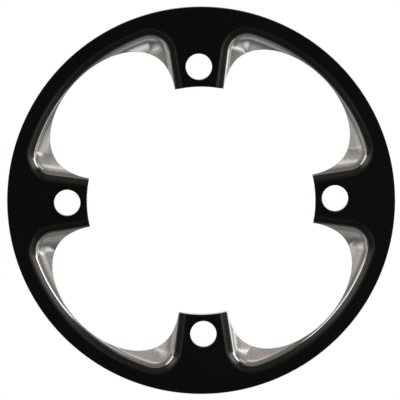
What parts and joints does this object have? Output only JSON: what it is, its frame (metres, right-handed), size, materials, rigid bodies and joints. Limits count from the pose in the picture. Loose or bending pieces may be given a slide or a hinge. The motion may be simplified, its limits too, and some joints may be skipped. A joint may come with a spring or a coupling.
{
  "type": "bicycle chainring guard",
  "caption": "Flat black guard ring for a crank: bevelled windows with bare cut metal slopes between inward tabs, each tab with a seated bolt hole.",
  "frame": {"origin": "centre of the ring on its flat back face, which lies on the surface it rests on", "axes": "+Z along the crank axle, out of the bevelled front face; a bolt tab on each of +X, +Y, -X and -Y"},
  "size_m": [0.1506, 0.1506, 0.005],
  "materials": {
    "anodised_plate": "satin black anodising, with bare machined metal on the slopes inside the windows"
  },
  "bodies": {
    "root": {"guard_ring": "anodised_plate"}
  },
  "joints": []
}
